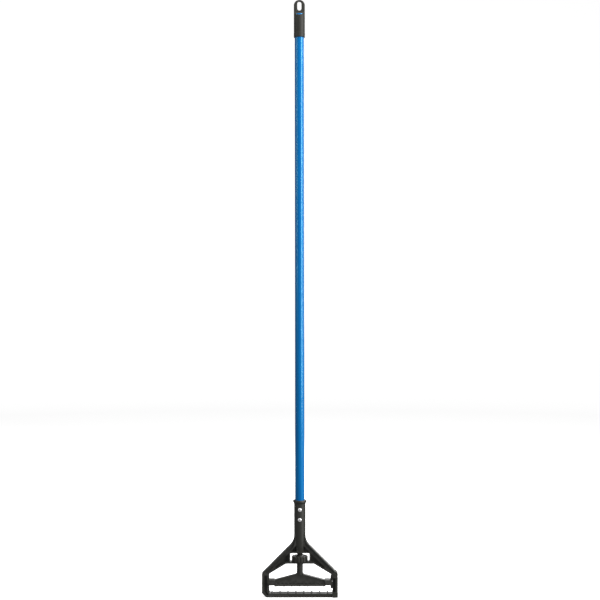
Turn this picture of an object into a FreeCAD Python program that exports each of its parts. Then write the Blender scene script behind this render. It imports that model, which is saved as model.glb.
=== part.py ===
import FreeCAD, Part
import math
import os
import Sketcher

# A string mop's handle with its clamp head, in millimetres, +Z up.
# The origin is the middle of the bottom bar's underside, straight below the tube.
# The front of the head faces -Y, and the side gate is at +X.

SIZES = {
    # how far a cut runs past a face, and an added shape sinks into the one it joins
    "over": 1.0,
    # tube and hang cap
    "overall_length": 1524.0,
    "tube_diameter": 23.8,
    "tube_wall": 1.0,
    "tube_seat": 163.0,
    "cap_length": 96.2,
    "cap_diameter": 28.2,
    "cap_depth": 60.0,
    "cap_slip": 0.05,
    "collar_height": 12.0,
    "collar_proud": 0.1,
    "collar_neck": 0.3,
    "tab_thickness": 11.0,
    "tab_root": 34.0,
    "tab_shoulder": 8.0,
    "hang_slot_width": 10.7,
    "hang_slot_length": 24.0,
    "hang_slot_drop": 3.8,
    # socket and column of the yoke
    "socket_diameter": 29.2,
    "socket_top": 246.8,
    "rim_diameter": 34.4,
    "rim_height": 4.6,
    "rim_flare": 3.4,
    "column_diameter": 20.6,
    "column_neck": 15.5,
    "column_length": 34.0,
    "screw_bore_diameter": 17.0,
    "screw_bore_top": 138.0,
    # rivets
    "rivet_height": 197.9,
    "rivet_pitch": 25.4,
    "rivet_diameter": 4.8,
    "rivet_head_diameter": 9.5,
    "rivet_head_height": 2.0,
    "rivet_grip_end": 7.6,
    "rivet_bulb_start": 10.0,
    "rivet_bulb_diameter": 7.0,
    "mandrel_diameter": 2.7,
    "mandrel_head_diameter": 4.5,
    "mandrel_head_height": 2.2,
    "spotface_diameter": 11.5,
    "spotface_reach": 13.4,
    # yoke
    "half_width": 96.75,
    "frame_depth": 22.0,
    "leg_inside": 78.4,
    "bar_height": 9.8,
    "slope_reach": 156.6,
    "inner_corner_height": 60.0,
    "bridge_underside": 85.8,
    "bridge_top": 89.9,
    "bridge_half_length": 36.0,
    "window_half_width": 24.4,
    "window_top": 112.7,
    "shoulder_radius": 33.6,
    "web_thickness": 8.0,
    "edge_round": 0.8,
    "rim_land": 2.0,
    "groove_width": 6.6,
    "groove_depth": 3.0,
    "groove_start": 12.0,
    "groove_bend": 18.0,
    "groove_stop": 9.0,
    "panel_inset": 10.8,
    "panel_root": 8.0,
    "panel_tip": 63.0,
    "window_wall": 3.4,
    "corner_cut": 11.2,
    "recess_low": 14.0,
    "recess_high": 56.0,
    "recess_floor": 5.6,
    "boss_diameter": 24.4,
    "stem_clearance": 0.4,
    "lower_flange": 4.2,
    "flange_width": 5.6,
    "rail_thickness": 14.0,
    "bar_rib_width": 3.0,
    "bar_rib_height": 2.6,
    "bar_rib_pitch": 20.25,
    "bar_rib_depth": 18.0,
    "tooth_depth": 17.0,
    # thumb wheel
    "wheel_diameter": 41.0,
    "wheel_height": 14.0,
    "wheel_bore_diameter": 15.9,
    "wheel_flute_diameter": 5.0,
    "wheel_flutes": 16.0,
    "wheel_lift": 0.3,
    "wheel_dish": 1.2,
    # jaw
    "jaw_underside": 28.6,
    "jaw_flange_height": 4.2,
    "jaw_depth": 21.6,
    "jaw_web": 13.0,
    "jaw_shoulder_height": 44.1,
    "jaw_peak_height": 58.7,
    "jaw_end": 77.9,
    "fork_length": 14.0,
    "jaw_tooth_width": 3.2,
    "jaw_tooth_height": 1.5,
    "fork_gap": 14.8,
    "fork_nose": 84.3,
    "stem_diameter": 15.7,
    "stem_top": 85.6,
    "screw_core_diameter": 11.2,
    "screw_top": 122.0,
    # side gate
    "pin_across": 88.2,
    "pin_height": 57.5,
    "pin_diameter": 5.0,
    "pin_head_diameter": 7.0,
    "pin_head_height": 0.9,
    "ear_radius": 8.6,
    "gate_seam": 53.2,
    "gate_gap": 0.4,
    "tongue_radius": 8.0,
    "tongue_thickness": 6.8,
    "tongue_slot": 7.4,
    "neck_half_width": 6.5,
    "neck_length": 14.0,
    "gate_tooth_height": 22.5,
    "gate_throat": 83.7,
    "notch_low": 36.2,
    "notch_high": 45.2,
    "foot_inside": 82.9,
    "foot_depth": 28.6,
    "foot_height": 13.0,
    "foot_wall": 2.5,
    "bar_end": 82.6,
    "tenon_end": 94.0,
    "tenon_underside": 2.9,
    "tenon_top": 8.8,
    "tenon_depth": 21.6,
    "tenon_clearance": 0.7,
}

doc = FreeCAD.newDocument("string_mop")
sheet = doc.addObject("Spreadsheet::Sheet", "Sizes")
for row, (alias, value) in enumerate(SIZES.items(), start=1):
    sheet.set(f"A{row}", alias)
    sheet.set(f"B{row}", str(value))
    sheet.setAlias(f"B{row}", alias)
doc.recompute()


def cell(expression):
    """The expression with every alias written as a cell of the sheet."""
    words = []
    word = ""
    for letter in expression + " ":
        if letter.isalpha() or letter == "_":
            word += letter
            continue
        words.append(f"Sizes.{word}" if word in SIZES else word)
        words.append(letter)
        word = ""
    return "".join(words).strip()


def number(expression):
    """The value of an expression on the sheet's aliases."""
    value = sheet.evalExpression(cell(str(expression)))
    return float(getattr(value, "Value", value))


def new_body(name):
    """An empty PartDesign body whose label names its file."""
    body = doc.addObject("PartDesign::Body", name)
    body.Label = name
    return body


def origin_feature(body, role):
    """One of the body's own origin planes or axes, found by its role."""
    return next(item for item in body.Origin.OriginFeatures if item.Role == role)


def new_sketch(body, name, plane, offset="0"):
    """A sketch on one of the body's origin planes, moved along the plane's normal."""
    sketch = body.newObject("Sketcher::SketchObject", name)
    sketch.AttachmentSupport = [(origin_feature(body, plane), "")]
    sketch.MapMode = "FlatFace"
    if offset != "0":
        sketch.setExpression("AttachmentOffset.Base.z", cell(offset))
    return sketch


def place_point(sketch, element, vertex, across, up):
    """Holds one vertex at two expressions, measured from the sketch's origin."""
    for kind, axis, expression in (("DistanceX", -2, across), ("DistanceY", -1, up)):
        if expression == "0":
            sketch.addConstraint(Sketcher.Constraint("PointOnObject", element, vertex, axis))
            continue
        constraint = Sketcher.Constraint(kind, -1, 1, element, vertex, number(expression))
        index = sketch.addConstraint(constraint)
        sketch.setExpression(f"Constraints[{index}]", cell(expression))


def add_corner_arc(sketch, start, end, centre):
    """The short arc between two points, drawn anticlockwise as sketches want it.
    Returns its index and which of its vertices are the start and the end."""
    clockwise = (start - centre).cross(end - centre).z < 0
    if clockwise:
        start, end = end, start
    angles = [math.atan2((p - centre).y, (p - centre).x) for p in (start, end)]
    if angles[1] < angles[0]:
        angles[1] += 2 * math.pi
    circle = Part.Circle(centre, FreeCAD.Vector(0, 0, 1), (start - centre).Length)
    arc = sketch.addGeometry(Part.ArcOfCircle(circle, angles[0], angles[1]), False)
    return (arc, 2, 1) if clockwise else (arc, 1, 2)


def add_outline(sketch, corners):
    """A closed outline of straight sides. Each corner is (across, up) or
    (across, up, radius), in expressions; a radius rounds the corner."""
    points = [FreeCAD.Vector(number(c[0]), number(c[1]), 0) for c in corners]
    count = len(corners)
    ends = []
    for i, corner in enumerate(corners):
        before = (points[i - 1] - points[i]).normalize()
        after = (points[(i + 1) % count] - points[i]).normalize()
        if len(corner) == 2:
            ends.append((points[i], points[i], None))
            continue
        radius = number(corner[2])
        half_angle = before.getAngle(after) / 2
        reach = radius / math.tan(half_angle)
        centre = points[i] + (before + after).normalize() * (radius / math.sin(half_angle))
        ends.append((points[i] + before * reach, points[i] + after * reach, centre))
    sides = []
    for i in range(count):
        start = ends[i][1]
        end = ends[(i + 1) % count][0]
        sides.append(sketch.addGeometry(Part.LineSegment(start, end), False))
    for i, corner in enumerate(corners):
        side_in = sides[i - 1]
        side_out = sides[i]
        if len(corner) == 2:
            sketch.addConstraint(Sketcher.Constraint("Coincident", side_in, 2, side_out, 1))
            place_point(sketch, side_out, 1, corner[0], corner[1])
            continue
        arc, first, last = add_corner_arc(sketch, *ends[i])
        sketch.addConstraint(Sketcher.Constraint("Tangent", side_in, 2, arc, first))
        sketch.addConstraint(Sketcher.Constraint("Tangent", arc, last, side_out, 1))
        radius = sketch.addConstraint(Sketcher.Constraint("Radius", arc, number(corner[2])))
        sketch.setExpression(f"Constraints[{radius}]", cell(corner[2]))
        tip = sketch.addGeometry(Part.Point(points[i]), True)
        sketch.addConstraint(Sketcher.Constraint("PointOnObject", tip, 1, side_in))
        sketch.addConstraint(Sketcher.Constraint("PointOnObject", tip, 1, side_out))
        place_point(sketch, tip, 1, corner[0], corner[1])


def add_box_outline(sketch, left, right, low, high):
    """A rectangle between four expressions."""
    add_outline(sketch, [(left, low), (right, low), (right, high), (left, high)])


def add_circle(sketch, across, up, radius):
    """A circle at two expressions, with its radius bound to the sheet."""
    centre = FreeCAD.Vector(number(across), number(up), 0)
    normal = FreeCAD.Vector(0, 0, 1)
    circle = sketch.addGeometry(Part.Circle(centre, normal, number(radius)), False)
    place_point(sketch, circle, 3, across, up)
    index = sketch.addConstraint(Sketcher.Constraint("Radius", circle, number(radius)))
    sketch.setExpression(f"Constraints[{index}]", cell(radius))


def extrude(body, kind, sketch, length, both_ways=True, taper=None, reverse=False):
    """A Pad or Pocket of the sketch, either symmetric or along the sketch's normal."""
    doc.recompute()
    volume_before = body.Shape.Volume if body.Shape and not body.Shape.isNull() else 0.0
    feature = body.newObject(f"PartDesign::{kind}", f"{sketch.Name}_{kind.lower()}")
    feature.Profile = sketch
    feature.Reversed = reverse
    if both_ways:
        feature.SideType = "Symmetric"
    feature.setExpression("Length", cell(length))
    if taper is not None:
        feature.TaperAngle = taper
    doc.recompute()
    check_change(body, feature, volume_before, kind == "Pad")
    return feature


def turn(body, kind, sketch, axis):
    """A Revolution or Groove of the sketch about one of the body's own axes or
    the sketch's own."""
    doc.recompute()
    volume_before = body.Shape.Volume if body.Shape and not body.Shape.isNull() else 0.0
    feature = body.newObject(f"PartDesign::{kind}", f"{sketch.Name}_{kind.lower()}")
    feature.Profile = sketch
    feature.ReferenceAxis = (axis, [""])
    doc.recompute()
    check_change(body, feature, volume_before, kind == "Revolution")
    return feature


def check_change(body, feature, volume_before, adds):
    """Stops if a feature failed, or added or cut nothing."""
    if "Invalid" in feature.State or feature.Shape.isNull():
        raise RuntimeError(f"{body.Label}: {feature.Name} failed")
    change = feature.Shape.Volume - volume_before
    if (change > 0) != adds or abs(change) < 1e-3:
        raise RuntimeError(f"{body.Label}: {feature.Name} changed the volume by {change:.3f}")


def repeat_mirrored(body, features, plane):
    """Repeats features on the other side of one of the body's planes."""
    mirrored = body.newObject("PartDesign::Mirrored", f"{features[-1].Name}_mirrored")
    mirrored.Originals = features
    mirrored.MirrorPlane = (origin_feature(body, plane), [""])
    body.Tip = mirrored
    doc.recompute()
    return mirrored


def repeat_in_line(body, feature, length, count):
    """Repeats a feature along X, evenly over a length."""
    pattern = body.newObject("PartDesign::LinearPattern", f"{feature.Name}_row")
    pattern.Originals = [feature]
    pattern.Direction = (origin_feature(body, "X_Axis"), [""])
    pattern.setExpression("Length", cell(length))
    pattern.Occurrences = count
    body.Tip = pattern
    doc.recompute()
    return pattern


def round_edges(body, base, radius, wanted):
    """Fillets the edges of a feature for which wanted(edge) is true."""
    names = [f"Edge{i}" for i, edge in enumerate(base.Shape.Edges, start=1) if wanted(edge)]
    fillet = body.newObject("PartDesign::Fillet", f"{base.Name}_round")
    fillet.Base = (base, names)
    fillet.setExpression("Radius", cell(radius))
    doc.recompute()
    if "Invalid" in fillet.State or fillet.Shape.isNull():
        raise RuntimeError(f"{body.Label}: rounding {base.Name} failed")
    return fillet


def on_faces(half_depth):
    """A test for edges that lie in the front or back plane of a pad."""
    def test(edge):
        box = edge.BoundBox
        return box.YLength < 1e-4 and abs(abs(box.YMin) - half_depth) < 1e-3
    return test


def add_rivet_holes(body, name):
    """Drills the two rivets' holes through a body's front wall."""
    holes = new_sketch(body, name, "XZ_Plane")
    for step in ("0", "1"):
        height = f"rivet_height + {step} * rivet_pitch"
        add_circle(holes, "0", height, "rivet_diameter / 2")
    extrude(body, "Pocket", holes, "socket_diameter", both_ways=False, reverse=True)


def build_tube():
    """The handle's thin tube, from its seat in the socket up into the cap."""
    body = new_body("handle_tube")
    sketch = new_sketch(body, "tube_section", "XY_Plane", "tube_seat")
    add_circle(sketch, "0", "0", "tube_diameter / 2")
    add_circle(sketch, "0", "0", "tube_diameter / 2 - tube_wall")
    length = "overall_length - cap_length + cap_depth - tube_seat"
    extrude(body, "Pad", sketch, length, both_ways=False)
    add_rivet_holes(body, "tube_rivet_holes")


def build_cap():
    """The moulded hang cap: a round sleeve over the tube whose top is a flat
    tab with a hanging slot."""
    body = new_body("hang_cap")
    base = "overall_length - cap_length"
    top = "overall_length"
    radius = "cap_diameter / 2"
    collar = f"{base} + collar_height"
    profile = new_sketch(body, "cap_profile", "XZ_Plane")
    add_outline(profile, [
        ("0", base), (f"{radius} + collar_proud", base, "1.6"),
        (f"{radius} + collar_proud", collar), (f"{radius} - collar_neck", f"{collar} + 0.6"),
        (radius, f"{collar} + 2"), (radius, top, f"{radius} - 0.02"), ("0", top)])
    turn(body, "Revolution", profile, origin_feature(body, "Z_Axis"))

    bore = new_sketch(body, "cap_bore", "XZ_Plane")
    add_box_outline(bore, "0", "tube_diameter / 2 + cap_slip", f"{base} - over",
                    f"{base} + cap_depth")
    turn(body, "Groove", bore, origin_feature(body, "Z_Axis"))

    # The tab's flats run up from a sloping shoulder, on the front and the back.
    root = "overall_length - tab_root - tab_shoulder"
    flat = new_sketch(body, "cap_flat", "YZ_Plane")
    outside = "-cap_diameter / 2 - over"
    add_outline(flat, [
        (outside, root), ("-tab_thickness / 2", f"{root} + tab_shoulder", "6"),
        ("-tab_thickness / 2", f"{top} + over"), (outside, f"{top} + over")])
    flat_cut = extrude(body, "Pocket", flat, "cap_diameter + 2 * over")
    repeat_mirrored(body, [flat_cut], "XZ_Plane")

    slot = new_sketch(body, "cap_slot", "XZ_Plane")
    side = "hang_slot_width / 2"
    high = "overall_length - hang_slot_drop"
    low = f"{high} - hang_slot_length"
    add_outline(slot, [
        (f"-{side}", low, f"{side} - 0.01"), (side, low, f"{side} - 0.01"),
        (side, high, f"{side} - 0.01"), (f"-{side}", high, f"{side} - 0.01")])
    slot_cut = extrude(body, "Pocket", slot, "cap_diameter + 2 * over")
    round_edges(body, slot_cut, "edge_round * 1.5", on_faces(number("tab_thickness / 2")))


def shoulder_line(inset):
    """How far out x + z reaches on a line parallel to the shoulder's slope."""
    return f"(slope_reach - ({inset}) * sqrt(2))"


def build_yoke():
    """The head's one moulding: socket, column, shoulders, left leg and bottom
    bar, with two ears at the right for the gate's pin."""
    body = new_body("clamp_yoke")
    radius = "socket_diameter / 2"
    frame = new_sketch(body, "frame_outline", "XZ_Plane")
    add_outline(frame, [
        (f"-{radius}", "tube_seat"),
        (f"-{radius}", f"slope_reach - {radius}", "shoulder_radius"),
        ("-half_width", "slope_reach - half_width", "4"),
        ("-half_width", "corner_cut", "3"),
        ("corner_cut - half_width", "0", "3"),
        ("bar_end", "0"), ("bar_end", "bar_height"),
        ("-leg_inside", "bar_height", "5.5"),
        ("-leg_inside", "inner_corner_height", "3"),
        ("-bridge_half_length", "bridge_underside", "6"),
        ("bridge_half_length", "bridge_underside", "6"),
        ("leg_inside", "inner_corner_height", "2"),
        ("leg_inside + 1.6", "pin_height"),
        ("half_width", "pin_height"),
        ("half_width", "slope_reach - half_width", "5"),
        (radius, f"slope_reach - {radius}", "shoulder_radius"),
        (radius, "tube_seat")])
    frame_pad = extrude(body, "Pad", frame, "frame_depth")
    round_edges(body, frame_pad, "edge_round", on_faces(number("frame_depth / 2")))
    ear = new_sketch(body, "ear_outline", "XZ_Plane")
    add_circle(ear, "pin_across", "pin_height", "ear_radius")
    extrude(body, "Pad", ear, "frame_depth")

    cut_shoulders(body)
    cut_left_leg(body)
    add_bar_details(body)
    add_socket(body)
    cut_bridge_and_ears(body)


def cut_shoulders(body):
    """The tapered groove behind each shoulder's rim, the sunk panel inside it and
    the window between them, cut alike from the front and the back."""
    front = "frame_depth / 2"
    groove = new_sketch(body, "shoulder_groove", "XZ_Plane", front)
    panel = new_sketch(body, "shoulder_panel", "XZ_Plane", front)
    outer = shoulder_line("rim_land")
    inner = shoulder_line("rim_land + groove_width")
    edge = shoulder_line("panel_inset")
    drop = "(bridge_underside - inner_corner_height) / (leg_inside - bridge_half_length)"
    low_line = f"(bridge_underside + lower_flange * sqrt(1 + ({drop}) ^ 2))"
    stop = "(half_width - groove_stop)"
    corner = "groove_width * sqrt(2) / 2"
    window_side = "window_half_width + window_wall"
    for side in ("", "-"):
        add_outline(groove, [
            (f"{side}(groove_start)", f"{outer} + groove_bend - groove_start"),
            (f"{side}(groove_bend)", f"{outer} - groove_bend", "shoulder_radius"),
            (f"{side}({stop})", f"{outer} - {stop}"),
            (f"{side}({stop} - {corner})", f"{inner} - {stop} + {corner}"),
            (f"{side}(groove_start + 2)", f"{inner} - groove_start - 2", "shoulder_radius"),
            (f"{side}(groove_start)", f"{inner} + 2")])
        add_outline(panel, [
            (f"{side}(panel_root)", "window_top + window_wall"),
            (f"{side}({window_side})", "window_top + window_wall"),
            (f"{side}({window_side})", low_line),
            (f"{side}(bridge_half_length)", low_line, "6"),
            (f"{side}(panel_tip)",
             f"{low_line} - (panel_tip - bridge_half_length) * {drop}", "1.2"),
            (f"{side}(panel_tip)", f"{edge} - panel_tip", "1.2"),
            (f"{side}(panel_root)", f"{edge} - panel_root")])
    groove_cut = extrude(body, "Pocket", groove, "groove_depth", both_ways=False, taper=38)
    panel_depth = "(frame_depth - web_thickness) / 2"
    panel_cut = extrude(body, "Pocket", panel, panel_depth, both_ways=False, taper=10)
    repeat_mirrored(body, [groove_cut, panel_cut], "XZ_Plane")

    window = new_sketch(body, "window", "XZ_Plane")
    half = "window_half_width"
    add_outline(window, [
        (f"-{half}", "bridge_top", "1.5"), (half, "bridge_top", "1.5"),
        (half, "window_top", "2"), (f"-{half}", "window_top", "2")])
    extrude(body, "Pocket", window, "frame_depth + 2 * over")


def cut_left_leg(body):
    """The left leg's two recesses: a wide one that leaves the jaw's guide rail,
    and a deeper one between the rail and the outer flange, whose lower edge
    slopes with the cut corner."""
    front = "frame_depth / 2"
    relief = new_sketch(body, "rail_relief", "XZ_Plane", front)
    add_box_outline(relief, "-half_width + flange_width", "-leg_inside + over", "recess_low",
                    "recess_high")
    relief_cut = extrude(body, "Pocket", relief, "(frame_depth - rail_thickness) / 2",
                         both_ways=False)
    deep = new_sketch(body, "leg_recess", "XZ_Plane", front)
    outer = "-half_width + flange_width"
    inner = "-leg_inside - flange_width"
    add_outline(deep, [
        (outer, "recess_high"), (outer, "recess_low"),
        (f"{outer} + recess_low - recess_floor", "recess_floor"),
        (f"{inner} + flange_width", "recess_floor"), (inner, "recess_low"),
        (inner, "recess_high")])
    deep_cut = extrude(body, "Pocket", deep, "(frame_depth - web_thickness) / 2",
                       both_ways=False)
    repeat_mirrored(body, [relief_cut, deep_cut], "XZ_Plane")


def add_bar_details(body):
    """The row of gripping ribs along the bar, and the tenon at its right end
    that the gate's foot shuts over."""
    rib = new_sketch(body, "bar_rib", "XZ_Plane")
    first = "-3.5 * bar_rib_pitch"
    half = "bar_rib_width / 2"
    add_outline(rib, [
        (f"{first} - {half}", "bar_height - over"), (f"{first} + {half}", "bar_height - over"),
        (f"{first} + {half}", "bar_height + bar_rib_height", "0.8"),
        (f"{first} - {half}", "bar_height + bar_rib_height", "0.8")])
    rib_pad = extrude(body, "Pad", rib, "bar_rib_depth")
    repeat_in_line(body, rib_pad, "7 * bar_rib_pitch", 8)
    tenon = new_sketch(body, "tenon", "XZ_Plane")
    add_outline(tenon, [
        ("bar_end - over", "tenon_underside"), ("tenon_end", "tenon_underside", "1"),
        ("tenon_end", "tenon_top", "1"), ("bar_end - over", "tenon_top")])
    extrude(body, "Pad", tenon, "tenon_depth")


def add_socket(body):
    """The round socket and the column that tapers down from it to the window,
    with the tube's bore, the screw's bore and the rivets' seats."""
    radius = "socket_diameter / 2"
    rim = "rim_diameter / 2"
    profile = new_sketch(body, "socket_profile", "XZ_Plane")
    add_outline(profile, [
        ("0", "window_top"), ("column_diameter / 2", "window_top"),
        (f"{radius} - 1.1", "window_top + column_neck", "40"),
        (radius, "window_top + column_length", "60"),
        (radius, "socket_top - rim_height - rim_flare", "6"),
        (rim, "socket_top - rim_height", "1"),
        (rim, "socket_top", "1.2"), ("0", "socket_top")])
    turn(body, "Revolution", profile, origin_feature(body, "Z_Axis"))
    bore = new_sketch(body, "tube_bore", "XZ_Plane")
    bore_radius = "tube_diameter / 2 + cap_slip"
    add_box_outline(bore, "0", bore_radius, "tube_seat", "socket_top + over")
    turn(body, "Groove", bore, origin_feature(body, "Z_Axis"))
    screw_bore = new_sketch(body, "screw_bore", "XZ_Plane")
    add_box_outline(screw_bore, "0", "screw_bore_diameter / 2", "window_top - over",
                    "screw_bore_top")
    turn(body, "Groove", screw_bore, origin_feature(body, "Z_Axis"))

    seats = new_sketch(body, "rivet_seats", "XZ_Plane", "spotface_reach")
    for step in ("0", "1"):
        height = f"rivet_height + {step} * rivet_pitch"
        add_circle(seats, "0", height, "spotface_diameter / 2")
    extrude(body, "Pocket", seats, "socket_diameter / 2 - spotface_reach + over",
            both_ways=False, reverse=True)
    add_rivet_holes(body, "socket_rivet_holes")


def cut_bridge_and_ears(body):
    """The round boss and hole in the bridge for the jaw's stem, the slot between
    the ears for the gate's tongue, and the pin's hole."""
    boss = new_sketch(body, "bridge_boss", "XY_Plane", "bridge_underside")
    add_circle(boss, "0", "0", "boss_diameter / 2")
    extrude(body, "Pad", boss, "bridge_top - bridge_underside", both_ways=False)
    hole = new_sketch(body, "stem_hole", "XY_Plane", "bridge_underside - over")
    add_circle(hole, "0", "0", "stem_diameter / 2 + stem_clearance")
    extrude(body, "Pocket", hole, "bridge_top - bridge_underside + 2 * over", both_ways=False,
            reverse=True)
    slot = new_sketch(body, "tongue_slot_round", "XZ_Plane")
    add_circle(slot, "pin_across", "pin_height", "ear_radius + gate_gap")
    extrude(body, "Pocket", slot, "tongue_slot")
    pin = new_sketch(body, "pin_hole", "XZ_Plane")
    add_circle(pin, "pin_across", "pin_height", "pin_diameter / 2")
    extrude(body, "Pocket", pin, "frame_depth + 2 * over")


def build_rivets():
    """Two blind rivets through the socket's front wall into the tube: each a
    headed shell with the bulb that its mandrel has drawn up, and the mandrel's
    stub. Each is made on the Y axis and raised to its height."""
    head_face = "-(spotface_reach + rivet_head_height)"
    for name, step in (("lower", 0), ("upper", 1)):
        shell = new_body(f"rivet_{name}")
        profile = new_sketch(shell, f"rivet_{name}_profile", "XY_Plane")
        bore = "mandrel_diameter / 2 + 0.02"
        add_outline(profile, [
            (bore, head_face), ("rivet_head_diameter / 3", head_face, "3"),
            ("rivet_head_diameter / 2", "-(spotface_reach + 0.5)"),
            ("rivet_head_diameter / 2", "-spotface_reach"),
            ("rivet_diameter / 2", "-spotface_reach"),
            ("rivet_diameter / 2", "-rivet_bulb_start - 0.2"),
            ("rivet_bulb_diameter / 2", "-rivet_bulb_start"),
            ("rivet_bulb_diameter / 2", "-rivet_grip_end - 1.2"),
            (bore, "-rivet_grip_end")])
        turn(shell, "Revolution", profile, origin_feature(shell, "Y_Axis"))

        stub = new_body(f"mandrel_{name}")
        core = new_sketch(stub, f"mandrel_{name}_profile", "XY_Plane")
        add_outline(core, [
            ("0", f"{head_face} + 0.6"), ("mandrel_diameter / 2", f"{head_face} + 0.6"),
            ("mandrel_diameter / 2", "-rivet_grip_end"),
            ("mandrel_head_diameter / 2", "-rivet_grip_end"),
            ("mandrel_head_diameter / 2", "-rivet_grip_end + mandrel_head_height", "0.8"),
            ("0", "-rivet_grip_end + mandrel_head_height")])
        turn(stub, "Revolution", core, origin_feature(stub, "Y_Axis"))
        for body in (shell, stub):
            height = cell(f"rivet_height + {step} * rivet_pitch")
            body.setExpression("Placement.Base.z", height)


def build_wheel():
    """The thumb wheel: a thick round nut with finger flutes round its rim, that
    stands on the bridge and turns about Z."""
    body = new_body("thumb_wheel")
    low = "bridge_top + wheel_lift"
    high = f"{low} + wheel_height"
    profile = new_sketch(body, "wheel_profile", "XZ_Plane")
    add_outline(profile, [
        ("wheel_bore_diameter / 2", low), ("wheel_diameter / 2", low, "1.8"),
        ("wheel_diameter / 2", high, "1.8"), ("wheel_diameter / 2 - 5", high, "0.5"),
        ("wheel_diameter / 2 - 5.6", f"{high} - wheel_dish", "0.5"),
        ("wheel_bore_diameter / 2 + 3.4", f"{high} - wheel_dish", "0.5"),
        ("wheel_bore_diameter / 2 + 2.8", high, "0.5"), ("wheel_bore_diameter / 2", high)])
    turn(body, "Revolution", profile, origin_feature(body, "Z_Axis"))
    flute = new_sketch(body, "wheel_flute", "XY_Plane", f"{low} - over")
    add_circle(flute, "0", "-(wheel_diameter / 2 + 0.7)", "wheel_flute_diameter / 2")
    cut = extrude(body, "Pocket", flute, "wheel_height + 2 * over", both_ways=False,
                  reverse=True)
    flutes = body.newObject("PartDesign::PolarPattern", "wheel_flutes_round")
    flutes.Originals = [cut]
    flutes.Axis = (origin_feature(body, "Z_Axis"), [""])
    flutes.Angle = 360
    flutes.setExpression("Occurrences", cell("wheel_flutes"))
    body.Tip = flutes
    doc.recompute()


def build_jaw():
    """The jaw: a roof-shaped web on a flat gripping flange, a forked guide at
    each end that straddles a leg's rail, and the stem whose top carries the
    thread. The threaded length is modelled at the thread's root."""
    body = new_body("clamp_jaw")
    fork_start = "(jaw_end - fork_length)"
    web = new_sketch(body, "jaw_web_outline", "XZ_Plane")
    add_outline(web, [
        (f"-{fork_start} - over", "jaw_underside"), (f"{fork_start} + over", "jaw_underside"),
        (f"{fork_start} + over", "jaw_shoulder_height - 1"),
        ("stem_diameter / 2 + 2", "jaw_peak_height - 1", "4"),
        ("stem_diameter / 2 - 1", "jaw_peak_height + 3"),
        ("-stem_diameter / 2 + 1", "jaw_peak_height + 3"),
        ("-stem_diameter / 2 - 2", "jaw_peak_height - 1", "4"),
        (f"-{fork_start} - over", "jaw_shoulder_height - 1")])
    extrude(body, "Pad", web, "jaw_web")
    flange = new_sketch(body, "jaw_flange", "XZ_Plane")
    add_box_outline(flange, f"-{fork_start} - over", f"{fork_start} + over", "jaw_underside",
                    "jaw_underside + jaw_flange_height")
    extrude(body, "Pad", flange, "jaw_depth")

    forks = new_sketch(body, "jaw_forks", "XZ_Plane")
    gaps = new_sketch(body, "jaw_fork_gaps", "XZ_Plane")
    for side in ("", "-"):
        add_outline(forks, [
            (f"{side}{fork_start}", "jaw_underside + 2"),
            (f"{side}(jaw_end + 1)", "jaw_underside + 2", "1.5"),
            (f"{side}(fork_nose)", "jaw_shoulder_height - 4.6", "1.5"),
            (f"{side}(jaw_end + 1)", "jaw_shoulder_height", "2"),
            (f"{side}{fork_start}", "jaw_shoulder_height")])
        add_outline(gaps, [
            (f"{side}(jaw_end)", "jaw_underside"),
            (f"{side}(fork_nose + over)", "jaw_underside"),
            (f"{side}(fork_nose + over)", "jaw_shoulder_height + over"),
            (f"{side}(jaw_end)", "jaw_shoulder_height + over")])
    extrude(body, "Pad", forks, "jaw_depth")
    extrude(body, "Pocket", gaps, "fork_gap")

    tooth = new_sketch(body, "jaw_tooth", "XZ_Plane")
    first = "-3 * bar_rib_pitch"
    half = "jaw_tooth_width / 2"
    add_outline(tooth, [
        (f"{first} - {half}", "jaw_underside + over"),
        (f"{first} - {half}", "jaw_underside - jaw_tooth_height", "0.7"),
        (f"{first} + {half}", "jaw_underside - jaw_tooth_height", "0.7"),
        (f"{first} + {half}", "jaw_underside + over")])
    tooth_pad = extrude(body, "Pad", tooth, "tooth_depth")
    repeat_in_line(body, tooth_pad, "6 * bar_rib_pitch", 7)
    gusset = new_sketch(body, "jaw_gusset", "XZ_Plane")
    add_outline(gusset, [
        (f"{first} - 0.9", "jaw_underside + 2"), (f"{first} + 0.9", "jaw_underside + 2"),
        (f"{first} + 0.9", "jaw_underside + jaw_flange_height + 3.4"),
        (f"{first} - 0.9", "jaw_underside + jaw_flange_height + 3.4")])
    gusset_pad = extrude(body, "Pad", gusset, "jaw_depth - 3")
    repeat_in_line(body, gusset_pad, "6 * bar_rib_pitch", 13)

    stem_root = "(jaw_peak_height - 2 * over)"
    stem = new_sketch(body, "jaw_stem", "XY_Plane", stem_root)
    add_circle(stem, "0", "0", "stem_diameter / 2")
    extrude(body, "Pad", stem, f"stem_top - {stem_root}", both_ways=False)
    core = new_sketch(body, "screw_core", "XY_Plane", "stem_top - over")
    add_circle(core, "0", "0", "screw_core_diameter / 2")
    extrude(body, "Pad", core, "screw_top - stem_top + over", both_ways=False)


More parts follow.
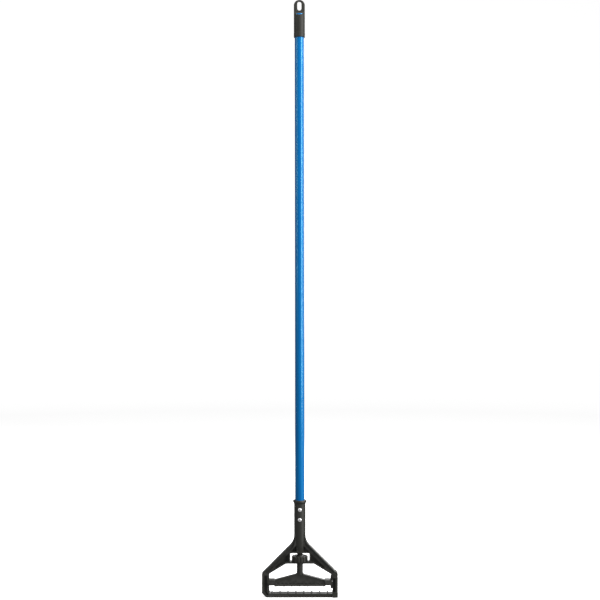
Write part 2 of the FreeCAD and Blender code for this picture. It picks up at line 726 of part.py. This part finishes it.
def build_gate():
    """The side gate: an outer flange and a notched guide rail joined by a web, a
    tongue that turns between the yoke's ears, and a hollow foot that shuts over
    the bar's tenon. Everything beside the tongue stays outside the ears' round."""
    body = new_body("side_gate")
    flanges = new_sketch(body, "gate_flange", "XZ_Plane")
    add_outline(flanges, [
        ("half_width - flange_width", "foot_height - over"),
        ("half_width", "foot_height - over"),
        ("half_width", "gate_seam", "0.6"), ("half_width - flange_width", "gate_seam")])
    extrude(body, "Pad", flanges, "frame_depth")
    rail = new_sketch(body, "gate_rail", "XZ_Plane")
    add_outline(rail, [
        ("leg_inside", "gate_tooth_height", "1.5"),
        ("leg_inside + flange_width", "gate_tooth_height", "1"),
        ("leg_inside + flange_width", "gate_seam"), ("leg_inside", "gate_seam", "1")])
    web = new_sketch(body, "gate_web", "XZ_Plane")
    add_box_outline(web, "gate_throat", "half_width - over", "foot_height - over",
                    "pin_height - tongue_radius")
    extrude(body, "Pad", web, "tongue_thickness")
    extrude(body, "Pad", rail, "rail_thickness")
    notch = new_sketch(body, "rail_notch", "XZ_Plane")
    add_box_outline(notch, "leg_inside - over", "gate_throat", "notch_low", "notch_high")
    extrude(body, "Pocket", notch, "rail_thickness + 2 * over")
    round_cut = new_sketch(body, "ear_clearance", "XZ_Plane")
    add_circle(round_cut, "pin_across", "pin_height", "ear_radius + gate_gap")
    extrude(body, "Pocket", round_cut, "frame_depth + 2 * over")

    tongue = new_sketch(body, "gate_tongue", "XZ_Plane")
    add_circle(tongue, "pin_across", "pin_height", "tongue_radius")
    neck = new_sketch(body, "gate_neck", "XZ_Plane")
    add_box_outline(neck, "pin_across - neck_half_width", "pin_across + neck_half_width",
                    "pin_height - neck_length", "pin_height")
    extrude(body, "Pad", tongue, "tongue_thickness")
    extrude(body, "Pad", neck, "tongue_thickness")
    bore = new_sketch(body, "gate_bore", "XZ_Plane")
    add_circle(bore, "pin_across", "pin_height", "pin_diameter / 2 + 0.08")
    extrude(body, "Pocket", bore, "frame_depth")

    foot = new_sketch(body, "gate_foot", "XZ_Plane")
    add_outline(foot, [
        ("foot_inside", "0"), ("half_width", "0", "1"),
        ("half_width", "foot_height"), ("foot_inside", "foot_height", "1")])
    extrude(body, "Pad", foot, "foot_depth")
    pocket = new_sketch(body, "foot_pocket", "XZ_Plane")
    add_box_outline(pocket, "foot_inside - over", "half_width - foot_wall",
                    "tenon_underside - tenon_clearance", "tenon_top + tenon_clearance")
    extrude(body, "Pocket", pocket, "tenon_depth + 2 * tenon_clearance")


def build_gate_pin():
    """The gate's pin, pressed in the ears, with a low head at each end."""
    body = new_body("gate_pin")
    shank = new_sketch(body, "pin_shank", "XZ_Plane")
    add_circle(shank, "pin_across", "pin_height", "pin_diameter / 2")
    extrude(body, "Pad", shank, "frame_depth + pin_head_height")
    back = "-frame_depth / 2 - pin_head_height"
    for end, offset in (("front", "frame_depth / 2"), ("back", back)):
        head = new_sketch(body, f"pin_head_{end}", "XZ_Plane", offset)
        add_circle(head, "pin_across", "pin_height", "pin_head_diameter / 2")
        extrude(body, "Pad", head, "pin_head_height", both_ways=False)


def write_parts():
    """Checks every object of the document, then writes one STEP file per body."""
    for item in doc.Objects:
        if {"Invalid", "Error"} & set(item.State):
            raise RuntimeError(f"{item.Label} is {item.State}")
    bodies = [item for item in doc.Objects if item.TypeId == "PartDesign::Body"]
    for body in bodies:
        shape = body.Shape
        if shape.isNull() or not shape.isValid() or len(shape.Solids) != 1:
            raise RuntimeError(f"{body.Label} isn't one valid solid")
    os.makedirs("parts", exist_ok=True)
    for body in bodies:
        body.Shape.exportStep(f"parts/{body.Label}.step")
        print(f"{body.Label}: {body.Shape.Volume / 1000:.2f} cm3")


build_tube()
build_cap()
build_yoke()
build_rivets()
build_wheel()
build_jaw()
build_gate()
build_gate_pin()
doc.recompute()
write_parts()
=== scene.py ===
import math

import bmesh
import bpy
import numpy as np
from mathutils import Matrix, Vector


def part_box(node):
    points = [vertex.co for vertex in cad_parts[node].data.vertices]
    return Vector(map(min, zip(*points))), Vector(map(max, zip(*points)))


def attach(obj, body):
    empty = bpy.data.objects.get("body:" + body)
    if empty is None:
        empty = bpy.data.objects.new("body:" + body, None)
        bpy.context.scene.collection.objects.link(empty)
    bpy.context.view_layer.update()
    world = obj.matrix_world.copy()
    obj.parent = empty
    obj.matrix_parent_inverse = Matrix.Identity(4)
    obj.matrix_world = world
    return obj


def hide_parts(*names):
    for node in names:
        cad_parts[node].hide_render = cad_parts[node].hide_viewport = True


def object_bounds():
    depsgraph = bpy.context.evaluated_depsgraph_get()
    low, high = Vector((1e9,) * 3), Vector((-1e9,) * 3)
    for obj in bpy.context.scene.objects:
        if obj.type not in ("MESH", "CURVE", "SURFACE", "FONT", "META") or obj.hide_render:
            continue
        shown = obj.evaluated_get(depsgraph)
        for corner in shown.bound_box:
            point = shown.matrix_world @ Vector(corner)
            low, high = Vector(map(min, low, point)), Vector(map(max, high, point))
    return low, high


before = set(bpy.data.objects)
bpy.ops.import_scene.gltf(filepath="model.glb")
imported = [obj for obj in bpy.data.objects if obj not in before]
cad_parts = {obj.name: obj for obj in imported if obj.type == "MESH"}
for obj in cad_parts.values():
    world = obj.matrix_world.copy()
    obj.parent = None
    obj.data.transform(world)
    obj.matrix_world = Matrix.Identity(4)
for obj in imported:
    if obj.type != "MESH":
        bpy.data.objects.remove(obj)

CAD_BOX = [list(map(float, corner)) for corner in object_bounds()]
MERGE_DISTANCE = 2e-6
FLAT_WITHIN = math.radians(0.4)
ROUND_ABOVE = math.radians(32)
SHARP_ABOVE = math.radians(30)
THREAD_SHARP_ABOVE = math.radians(40)
THREAD_BELOW_WHEEL = 0.0045
FLOOR_GAP = 0.0003
FLOOR_GLOW = 0.74
SURROUND_GLOW = 0.22

# a light's name, its place, what it faces, its width and height, and its watts
LIGHTS = (
    ("key_right", (2.15, -1.25, 1.40), (0.0, 0.0, 0.8), (0.8, 2.4), 112.0),
    ("fill_left", (-2.28, -1.02, 1.75), (0.0, 0.0, 1.4), (0.4, 1.9), 22.0),
    ("overhead", (0.3, -0.9, 3.2), (0.0, 0.0, 0.3), (1.2, 1.2), 44.0),
    ("behind", (0.9, 2.6, 1.6), (0.0, 0.0, 0.6), (1.6, 2.2), 38.0),
)

bl_info = {
    "name": "String mop handle",
    "version": (1, 0, 0),
    "blender": (4, 5, 0),
    "location": "3D View > Sidebar > Mop handle",
    "description": "A mop's tube handle and clamp head, with a jaw screw and finishes",
    "category": "Object",
}


# ---------------------------------------------------------------- sizes and colours

class MopSizes(bpy.types.PropertyGroup):
    """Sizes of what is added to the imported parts."""

    moulded_edge: bpy.props.FloatProperty(
        name="Moulded edge", description="Width of the soft edge on the moulded plastic parts",
        default=0.0005, min=0.0, unit="LENGTH")
    wheel_edge: bpy.props.FloatProperty(
        name="Wheel edge", description="Width of the soft edge on the thumb wheel's flutes",
        default=0.0004, min=0.0, unit="LENGTH")
    thread_pitch: bpy.props.FloatProperty(
        name="Thread pitch", description="Rise of the jaw screw's thread in one turn",
        default=0.005, unit="LENGTH")
    thread_crest: bpy.props.FloatProperty(
        name="Thread crest radius", description="Radius of the jaw screw at the thread's crest",
        default=0.00775, unit="LENGTH")
    thread_root: bpy.props.FloatProperty(
        name="Thread root radius", description="Radius at which the thread is sunk in the screw",
        default=0.0054, unit="LENGTH")
    camera_distance: bpy.props.FloatProperty(
        name="Camera distance", description="From the camera to the middle of the tube",
        default=2.95, unit="LENGTH")
    view_height: bpy.props.FloatProperty(
        name="View height", description="Height that the picture takes in at the tube",
        default=1.5332, unit="LENGTH")
    view_overhang: bpy.props.FloatProperty(
        name="View overhang", description="Height that the picture takes in below the bar",
        default=0.0091, unit="LENGTH")
    camera_offset: bpy.props.FloatProperty(
        name="Camera offset", description="From the tube's axis to the camera, to the right",
        default=0.0010, unit="LENGTH")
    camera_roll: bpy.props.FloatProperty(
        name="Camera roll", description="Tilt of the camera about its line of sight",
        default=math.radians(0.05), subtype="ANGLE", unit="ROTATION")


class MopColours(bpy.types.PropertyGroup):
    """Colours of the finishes, as linear values."""

    enamel: bpy.props.FloatVectorProperty(
        name="Enamel", description="Blue enamel of the tube", subtype="COLOR",
        size=3, min=0.0, max=1.0, default=(0.0006, 0.130, 0.38))
    enamel_deep: bpy.props.FloatVectorProperty(
        name="Deep enamel", description="Blue enamel where it lies thicker", subtype="COLOR",
        size=3, min=0.0, max=1.0, default=(0.0005, 0.105, 0.34))
    enamel_speck: bpy.props.FloatVectorProperty(
        name="Enamel specks", description="Specks in the enamel where it is rubbed",
        subtype="COLOR", size=3, min=0.0, max=1.0, default=(0.01, 0.17, 0.46))
    plastic: bpy.props.FloatVectorProperty(
        name="Plastic", description="Black moulded plastic", subtype="COLOR",
        size=3, min=0.0, max=1.0, default=(0.0190, 0.0191, 0.0155))
    plastic_worn: bpy.props.FloatVectorProperty(
        name="Rubbed plastic", description="Black plastic where handling has rubbed it",
        subtype="COLOR", size=3, min=0.0, max=1.0, default=(0.034, 0.034, 0.030))
    # lighter grey on convex edges: partly wear from rubbing, partly a painted edge highlight
    plastic_edge_rub_and_highlight: bpy.props.FloatVectorProperty(
        name="Plastic edges", description="Black plastic along edges that stand out",
        subtype="COLOR", size=3, min=0.0, max=1.0, default=(0.060, 0.060, 0.057))
    aluminium: bpy.props.FloatVectorProperty(
        name="Aluminium", description="Rivet heads", subtype="COLOR",
        size=3, min=0.0, max=1.0, default=(0.86, 0.86, 0.87))
    steel: bpy.props.FloatVectorProperty(
        name="Steel", description="Broken ends of the rivets' mandrels", subtype="COLOR",
        size=3, min=0.0, max=1.0, default=(0.055, 0.055, 0.057))
    floor: bpy.props.FloatVectorProperty(
        name="Floor", description="Pale floor and backdrop", subtype="COLOR",
        size=3, min=0.0, max=1.0, default=(0.93, 0.93, 0.93))


# ---------------------------------------------------------------- materials

class Socket:
    """A node's output with arithmetic: an expression on values adds its Math nodes."""

    def __init__(self, paint, output):
        self.paint = paint
        self.output = output

    def _math(self, operation, *values):
        node = self.paint.node("ShaderNodeMath", {"operation": operation}, dict(enumerate(values)))
        return node(0)

    def __add__(self, other):
        return self._math("ADD", self, other)

    def __radd__(self, other):
        return self._math("ADD", other, self)

    def __sub__(self, other):
        return self._math("SUBTRACT", self, other)

    def __rsub__(self, other):
        return self._math("SUBTRACT", other, self)

    def __mul__(self, other):
        return self._math("MULTIPLY", self, other)

    def __rmul__(self, other):
        return self._math("MULTIPLY", other, self)

    def between(self, low, high):
        """0 below low, 1 above high, and a smooth step from one to the other."""
        node = self.paint.node(
            "ShaderNodeMapRange", {"interpolation_type": "SMOOTHSTEP", "clamp": True},
            {"Value": self, "From Min": low, "From Max": high, "To Min": 0.0, "To Max": 1.0})
        return node("Result")


class Paint:
    """One node material. Nodes come from node(), and surface() sets its shader."""

    def __init__(self, name):
        self.material = bpy.data.materials.new(name)
        self.material.use_nodes = True
        self.tree = self.material.node_tree
        self.shader = next(n for n in self.tree.nodes if n.type == "BSDF_PRINCIPLED")

    def node(self, kind, settings, inputs):
        """Adds a node of a type: its settings first, then its sockets' values or links.
        What it returns gives the node's outputs by name or number."""
        node = self.tree.nodes.new(kind)
        for name, value in settings.items():
            setattr(node, name, value)
        for name, value in inputs.items():
            self.feed(node.inputs[name], value)
        return lambda output: Socket(self, node.outputs[output])

    def feed(self, socket, value):
        if isinstance(value, Socket):
            self.tree.links.new(value.output, socket)
        else:
            socket.default_value = value

    def place(self, scale=(1.0, 1.0, 1.0), offset=(0.0, 0.0, 0.0)):
        """Object coordinates in metres, scaled along each axis after an offset."""
        where = self.node("ShaderNodeTexCoord", {}, {})("Object")
        mapping = self.node("ShaderNodeMapping", {},
                            {"Vector": where, "Scale": scale, "Location": offset})
        return mapping("Vector")

    def noise(self, where, scale, detail=2.0, roughness=0.5):
        return self.node("ShaderNodeTexNoise", {"noise_dimensions": "3D"}, {
            "Vector": where, "Scale": scale, "Detail": detail, "Roughness": roughness})("Fac")

    def cells(self, where, scale):
        return self.node("ShaderNodeTexVoronoi", {"feature": "F1"},
                         {"Vector": where, "Scale": scale})("Distance")

    def blend(self, share, low, high):
        """The colour low where share is 0 and high where it is 1."""
        node = self.node("ShaderNodeMix", {"data_type": "RGBA"}, {0: share, 6: low, 7: high})
        return node(2)

    def bump(self, height, strength, distance):
        return self.node("ShaderNodeBump", {}, {
            "Height": height, "Strength": strength, "Distance": distance})("Normal")

    def surface(self, **sockets):
        """Sets the shader: a name's underscores stand for the spaces in its socket's name."""
        for name, value in sockets.items():
            self.feed(self.shader.inputs[name.replace("_", " ")], value)
        return self.material


def opaque(colour):
    return (*colour, 1.0)


def blue_enamel(colours):
    """Glossy enamel over thin drawn tube: slight orange peel, draw lines along the tube
    and a few dull rubbed streaks with fine specks in them."""
    paint = Paint("blue_enamel")
    along = paint.place(scale=(1.0, 1.0, 0.04))
    every = paint.place()
    thick = paint.noise(along, 160.0, 3.0).between(0.35, 0.7)
    base = paint.blend(thick, opaque(colours.enamel), opaque(colours.enamel_deep))
    rubbed = paint.noise(paint.place(scale=(1.0, 1.0, 0.15)), 90.0, 4.0, 0.6).between(0.60, 0.78)
    specks = paint.cells(every, 900.0).between(0.12, 0.04) * rubbed
    peel = paint.noise(every, 420.0, 2.0)
    lines = paint.noise(paint.place(scale=(1.0, 1.0, 0.01)), 900.0, 2.0)
    height = peel * 0.6 + lines * 0.4
    return paint.surface(
        Base_Color=paint.blend(specks * 0.5, base, opaque(colours.enamel_speck)),
        Roughness=0.27 + rubbed * 0.12 + specks * 0.1,
        Normal=paint.bump(height, 0.12, 0.0004),
        Specular_IOR_Level=0.62, Specular_Tint=(0.30, 0.86, 1.0, 1.0),
        Coat_Weight=0.06, Coat_Roughness=0.08)


def moulded_plastic(name, colours, grain=1.0, rough=0.43, gloss=0.5):
    """Black moulded plastic: a fine spark-eroded grain, faint flow marks, and a greyer,
    smoother finish along the edges that stand out, partly wear from rubbing and partly a painted
    edge highlight."""
    paint = Paint(name)
    every = paint.place()
    flow = paint.noise(paint.place(scale=(1.0, 1.0, 0.5)), 45.0, 4.0, 0.55).between(0.3, 0.75)
    dust = paint.noise(every, 260.0, 5.0, 0.7).between(0.52, 0.75)
    edge = paint.node("ShaderNodeNewGeometry", {}, {})("Pointiness").between(0.515, 0.60)
    # convex edges from pointiness, broken up by noise: partly wear from rubbing, partly a painted
    # edge highlight
    rub_and_edge_highlight = edge * paint.noise(every, 120.0, 3.0).between(0.3, 0.6)
    pits = paint.cells(every, 1500.0)
    grit = paint.noise(every, 2600.0, 2.0)
    height = (pits * 0.5 + grit * 0.5) * grain + flow * 0.1
    worn = paint.blend(dust * 0.35 + flow * 0.05, opaque(colours.plastic),
                       opaque(colours.plastic_worn))
    return paint.surface(
        # the lighter edge grey is partly a painted edge highlight, partly wear from rubbing
        Base_Color=paint.blend(rub_and_edge_highlight * 0.5, worn, opaque(colours.plastic_edge_rub_and_highlight)),
        Roughness=rough + dust * 0.08 - rub_and_edge_highlight * 0.10 + flow * 0.02,
        Normal=paint.bump(height, 0.22, 0.00025),
        Specular_IOR_Level=gloss)


def bright_metal(name, colour, rough, scale, metallic):
    """Bare metal: a fine turned or broken grain, a little tarnish in cloudy spots."""
    paint = Paint(name)
    every = paint.place()
    cloud = paint.noise(every, scale * 0.3, 3.0).between(0.4, 0.7)
    grain = paint.noise(every, scale, 4.0, 0.6)
    dull = tuple(0.72 * c for c in colour)
    return paint.surface(
        Base_Color=paint.blend(cloud * 0.35, opaque(colour), opaque(dull)),
        Roughness=rough + cloud * 0.12 + grain * 0.06,
        Normal=paint.bump(grain, 0.15, 0.0002),
        Metallic=metallic)


def pale_floor(colours):
    """Plain pale seamless paper with a barely visible mottle and a glow that keeps
    it pale."""
    paint = Paint("pale_floor")
    mottle = paint.noise(paint.place(), 6.0, 2.0)
    light = tuple(colours.floor)
    dark = tuple(0.985 * c for c in light)
    return paint.surface(Base_Color=paint.blend(mottle, opaque(light), opaque(dark)),
                         Roughness=0.8, Specular_IOR_Level=0.1,
                         Emission_Color=opaque(light), Emission_Strength=FLOOR_GLOW)


# ---------------------------------------------------------------- meshes

def finish_node(node, material):
    """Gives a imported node's object a finish."""
    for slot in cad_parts[node].material_slots:
        slot.material = material


def new_object(name, mesh, material, body):
    """Links a piece whose place is in its mesh, gives it its finish and its body."""
    piece = bpy.data.objects.new(name, mesh)
    bpy.context.scene.collection.objects.link(piece)
    piece.data.materials.clear()
    piece.data.materials.append(material)
    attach(piece, body)
    return piece


def soften(piece, width):
    """A live bevel that rounds every edge sharper than the tessellation's own."""
    bevel = piece.modifiers.new("Soft edges", "BEVEL")
    bevel.width = width
    bevel.segments = 2
    bevel.limit_method = "ANGLE"
    bevel.angle_limit = ROUND_ABOVE
    bevel.use_clamp_overlap = True


def merged_copy(node, name):
    """A copy of a node's mesh with its loose triangles merged and its flat
    faces joined, so that only true edges are left to round."""
    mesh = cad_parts[node].data.copy()
    mesh.name = name
    work = bmesh.new()
    work.from_mesh(mesh)
    bmesh.ops.remove_doubles(work, verts=work.verts, dist=MERGE_DISTANCE)
    bmesh.ops.dissolve_limit(work, angle_limit=FLAT_WITHIN, use_dissolve_boundaries=False,
                             verts=work.verts, edges=work.edges)
    work.to_mesh(mesh)
    work.free()
    return mesh


def shade_by_angle(mesh, sharp_above):
    """Smooth faces, with every edge sharper than the angle marked sharp."""
    work = bmesh.new()
    work.from_mesh(mesh)
    for face in work.faces:
        face.smooth = True
    for edge in work.edges:
        edge.smooth = edge.is_manifold and edge.calc_face_angle(0.0) < sharp_above
    work.to_mesh(mesh)
    work.free()


def softened_copy(node, name, material, body, width):
    """A merged copy of a node with a soft edge all over, standing for the node."""
    mesh = merged_copy(node, name)
    shade_by_angle(mesh, SHARP_ABOVE)
    piece = new_object(name, mesh, material, body)
    soften(piece, width)
    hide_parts(node)


def grid_quads(rows, columns):
    """The quads of a grid of points, whose columns close into rings, and the grid
    of the points' numbers."""
    index = np.arange(rows * columns).reshape(rows, columns)
    ring = np.roll(index, -1, axis=1)
    quads = np.stack([index[:-1], ring[:-1], ring[1:], index[1:]], axis=-1)
    return quads.reshape(-1, 4), index


def mesh_from_grid(name, points):
    """A closed mesh over a grid of points: rows along a path, columns round it, and
    a cap at both ends."""
    quads, index = grid_quads(*points.shape[:2])
    faces = quads.tolist() + [index[0, ::-1].tolist(), index[-1].tolist()]
    mesh = bpy.data.meshes.new(name)
    mesh.from_pydata(points.reshape(-1, 3), [], faces)
    work = bmesh.new()
    work.from_mesh(mesh)
    bmesh.ops.recalc_face_normals(work, faces=work.faces)
    work.to_mesh(mesh)
    work.free()
    return mesh


def thread_ridge(name, pitch, crest, root, low, high):
    """The jaw screw's thread: a rounded trapezium carried up a right-hand helix.
    Round the helix at angle u the section's centre rises by pitch * u / (2 pi). The
    section runs from the root radius out to the crest radius, with a foot 0.44 pitch
    and a crest 0.15 pitch to each side, and shrinks towards the root over the last
    third of a turn at both ends, though never to nothing, so that no face collapses."""
    section_height, steps_per_turn = 0.9, 64
    least_reach, least_spread = 0.04, 0.5
    turns = (high - low) / pitch - section_height
    u = np.linspace(0.0, 2 * np.pi * turns, int(turns * steps_per_turn) + 1)
    run = np.minimum(u, u[-1] - u) / (2 * np.pi / 3)
    fade = np.clip(run, 0.0, 1.0)
    fade = fade * fade * (3 - 2 * fade)
    corner_out = np.array([0.0, 0.72, 0.93, 1.0, 1.0, 0.93, 0.72, 0.0])
    corner_up = np.array([-0.44, -0.25, -0.20, -0.15, 0.15, 0.20, 0.25, 0.44])
    tall = least_reach + (1 - least_reach) * fade[:, None]
    wide = least_spread + (1 - least_spread) * fade[:, None]
    reach = root + (crest - root) * corner_out[None, :] * tall
    spread = corner_up[None, :] * wide
    rise = pitch * (u[:, None] / (2 * np.pi) + spread)
    points = np.stack([reach * np.cos(u)[:, None], reach * np.sin(u)[:, None],
                       low + section_height / 2 * pitch + rise], axis=-1)
    return mesh_from_grid(name, points)


# ---------------------------------------------------------------- operators

class MOP_OT_paint_tube(bpy.types.Operator):
    """Enamel on the handle's tube"""
    bl_idname = "mop.paint_tube"
    bl_label = "Tube"

    def execute(self, context):
        finish_node("handle_tube", blue_enamel(context.scene.mop_colours))
        return {"FINISHED"}


class MOP_OT_mould_yoke(bpy.types.Operator):
    """The yoke's moulding with soft edges"""
    bl_idname = "mop.mould_yoke"
    bl_label = "Clamp yoke"

    def execute(self, context):
        plastic = moulded_plastic("yoke_plastic", context.scene.mop_colours)
        softened_copy("clamp_yoke", "clamp_yoke_moulding", plastic, "handle",
                      context.scene.mop_sizes.moulded_edge)
        return {"FINISHED"}


class MOP_OT_mould_cap(bpy.types.Operator):
    """The hang cap with soft edges round its flats and slot"""
    bl_idname = "mop.mould_cap"
    bl_label = "Hang cap"

    def execute(self, context):
        plastic = moulded_plastic("cap_plastic", context.scene.mop_colours, grain=0.7, rough=0.55,
                                  gloss=0.28)
        softened_copy("hang_cap", "hang_cap_moulding", plastic, "handle",
                      context.scene.mop_sizes.moulded_edge)
        return {"FINISHED"}


class MOP_OT_mould_wheel(bpy.types.Operator):
    """The thumb wheel with softened flutes"""
    bl_idname = "mop.mould_wheel"
    bl_label = "Thumb wheel"

    def execute(self, context):
        plastic = moulded_plastic("wheel_plastic", context.scene.mop_colours, grain=0.6, rough=0.36)
        softened_copy("thumb_wheel", "thumb_wheel_moulding", plastic, "wheel",
                      context.scene.mop_sizes.wheel_edge)
        return {"FINISHED"}


class MOP_OT_mould_jaw(bpy.types.Operator):
    """The jaw with soft edges, and the helical thread on its screw"""
    bl_idname = "mop.mould_jaw"
    bl_label = "Jaw and screw"

    def execute(self, context):
        sizes = context.scene.mop_sizes
        plastic = moulded_plastic("jaw_plastic", context.scene.mop_colours)
        softened_copy("clamp_jaw", "clamp_jaw_moulding", plastic, "jaw",
                      sizes.moulded_edge)
        screw_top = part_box("clamp_jaw")[1].z
        wheel_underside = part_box("thumb_wheel")[0].z
        ridge = thread_ridge("jaw_thread", sizes.thread_pitch, sizes.thread_crest,
                             sizes.thread_root, wheel_underside - THREAD_BELOW_WHEEL, screw_top)
        shade_by_angle(ridge, THREAD_SHARP_ABOVE)
        new_object("jaw_thread", ridge, plastic, "jaw")
        return {"FINISHED"}


class MOP_OT_mould_gate(bpy.types.Operator):
    """The side gate with soft edges, and its pin"""
    bl_idname = "mop.mould_gate"
    bl_label = "Side gate"

    def execute(self, context):
        plastic = moulded_plastic("gate_plastic", context.scene.mop_colours)
        softened_copy("side_gate", "side_gate_moulding", plastic, "gate",
                      context.scene.mop_sizes.moulded_edge)
        finish_node("gate_pin", moulded_plastic("pin_plastic", context.scene.mop_colours,
                                                grain=0.4, rough=0.33))
        return {"FINISHED"}


class MOP_OT_finish_rivets(bpy.types.Operator):
    """Bright rivets with darker mandrel stubs"""
    bl_idname = "mop.finish_rivets"
    bl_label = "Rivets"

    def execute(self, context):
        colours = context.scene.mop_colours
        aluminium = bright_metal("rivet_aluminium", tuple(colours.aluminium), 0.42, 900.0, 0.55)
        steel = bright_metal("mandrel_steel", tuple(colours.steel), 0.42, 1600.0, 1.0)
        for place in ("lower", "upper"):
            finish_node(f"rivet_{place}", aluminium)
            finish_node(f"mandrel_{place}", steel)
        return {"FINISHED"}


class MOP_OT_set_stage(bpy.types.Operator):
    """Floor and backdrop, soft lights and the camera"""
    bl_idname = "mop.set_stage"
    bl_label = "Stage"

    def execute(self, context):
        sizes = context.scene.mop_sizes
        add_floor(context.scene, context.scene.mop_colours)
        add_lights(context.scene)
        add_camera(context.scene, sizes)
        return {"FINISHED"}


def add_floor(scene, colours):
    """A round floor that sweeps up into a wall all round: a profile of a flat run, a
    quarter circle and an upright, turned about the vertical axis. It is seen, and
    takes shadows, but neither mirrors in the object nor shades it."""
    floor_z = CAD_BOX[0][2] - FLOOR_GAP
    flat, sweep, height = 5.0, 1.6, 9.0
    centre_reach, sides, sweep_steps = 0.02, 96, 16
    turn = np.linspace(0.0, np.pi / 2, sweep_steps + 1)
    reach = np.concatenate([[centre_reach], flat + sweep * np.sin(turn), [flat + sweep]])
    rise = np.concatenate([[0.0], sweep * (1 - np.cos(turn)), [height]])
    around = np.linspace(0.0, 2 * np.pi, sides, endpoint=False)[None, :]
    points = np.stack([reach[:, None] * np.cos(around), reach[:, None] * np.sin(around),
                       floor_z + np.broadcast_to(rise[:, None], (len(rise), sides))], axis=-1)
    quads, index = grid_quads(len(rise), sides)
    mesh = bpy.data.meshes.new("backdrop")
    inward = quads[:, ::-1].tolist() + [index[0].tolist()]
    mesh.from_pydata(points.reshape(-1, 3), [], inward)
    mesh.shade_smooth()
    backdrop = bpy.data.objects.new("backdrop", mesh)
    scene.collection.objects.link(backdrop)
    backdrop.data.materials.append(pale_floor(colours))
    backdrop.visible_diffuse = False
    backdrop.visible_glossy = False
    backdrop.visible_shadow = False


def add_area_light(scene, name, place, target, size, watts):
    """A rectangular soft light at a place, turned to face a target."""
    light = bpy.data.lights.new(name, "AREA")
    light.shape = "RECTANGLE"
    light.size, light.size_y = size
    light.energy = watts
    lamp = bpy.data.objects.new(name, light)
    lamp.visible_camera = False
    scene.collection.objects.link(lamp)
    across, deep, up = np.subtract(target, place)
    lamp.location = place
    lamp.rotation_euler = (math.atan2(math.hypot(across, deep), -up), 0.0,
                           math.atan2(deep, across) - math.pi / 2)


def add_lights(scene):
    """A tall soft light at the right, weaker ones at the left front, overhead and
    behind, and a dim even surround."""
    for light in LIGHTS:
        add_area_light(scene, *light)
    world = bpy.data.worlds.new("dim_surround")
    world.use_nodes = True
    ground = next(n for n in world.node_tree.nodes if n.type == "BACKGROUND")
    ground.inputs["Color"].default_value = (1.0, 1.0, 1.0, 1.0)
    ground.inputs["Strength"].default_value = SURROUND_GLOW
    scene.world = world
    scene.view_settings.view_transform = "Standard"


def add_camera(scene, sizes):
    """A level camera straight in front of the tube, at the middle of the view's height."""
    camera = bpy.data.cameras.new("camera")
    camera.angle = 2 * math.atan(sizes.view_height / 2 / sizes.camera_distance)
    camera.clip_start = 0.01
    camera.clip_end = 100.0
    stand = bpy.data.objects.new("camera", camera)
    scene.collection.objects.link(stand)
    middle = sizes.view_height / 2 - sizes.view_overhang
    stand.location = (sizes.camera_offset, -sizes.camera_distance, middle)
    stand.rotation_euler = (math.pi / 2, sizes.camera_roll, 0.0)
    scene.camera = stand


# ---------------------------------------------------------------- panel and main

OPERATORS = (MOP_OT_paint_tube, MOP_OT_mould_cap, MOP_OT_mould_yoke, MOP_OT_finish_rivets,
             MOP_OT_mould_wheel, MOP_OT_mould_jaw, MOP_OT_mould_gate, MOP_OT_set_stage)


class MOP_PT_panel(bpy.types.Panel):
    """Lists the mop's pieces, sizes and colours"""
    bl_idname = "MOP_PT_panel"
    bl_label = "Mop handle"
    bl_space_type = "VIEW_3D"
    bl_region_type = "UI"
    bl_category = "Mop handle"

    def draw(self, context):
        for group in (context.scene.mop_sizes, context.scene.mop_colours):
            for name in group.__annotations__:
                self.layout.prop(group, name)
        for operator in OPERATORS:
            self.layout.operator(operator.bl_idname)


CLASSES = (MopSizes, MopColours, *OPERATORS, MOP_PT_panel)


def register():
    for item in CLASSES:
        bpy.utils.register_class(item)
    bpy.types.Scene.mop_sizes = bpy.props.PointerProperty(type=MopSizes)
    bpy.types.Scene.mop_colours = bpy.props.PointerProperty(type=MopColours)


def unregister():
    del bpy.types.Scene.mop_colours
    del bpy.types.Scene.mop_sizes
    for item in reversed(CLASSES):
        bpy.utils.unregister_class(item)


def main():
    register()
    bpy.ops.mop.set_stage()
    bpy.ops.mop.paint_tube()
    bpy.ops.mop.mould_cap()
    bpy.ops.mop.mould_yoke()
    bpy.ops.mop.finish_rivets()
    bpy.ops.mop.mould_wheel()
    bpy.ops.mop.mould_jaw()
    bpy.ops.mop.mould_gate()


if __name__ == "__main__":
    main()
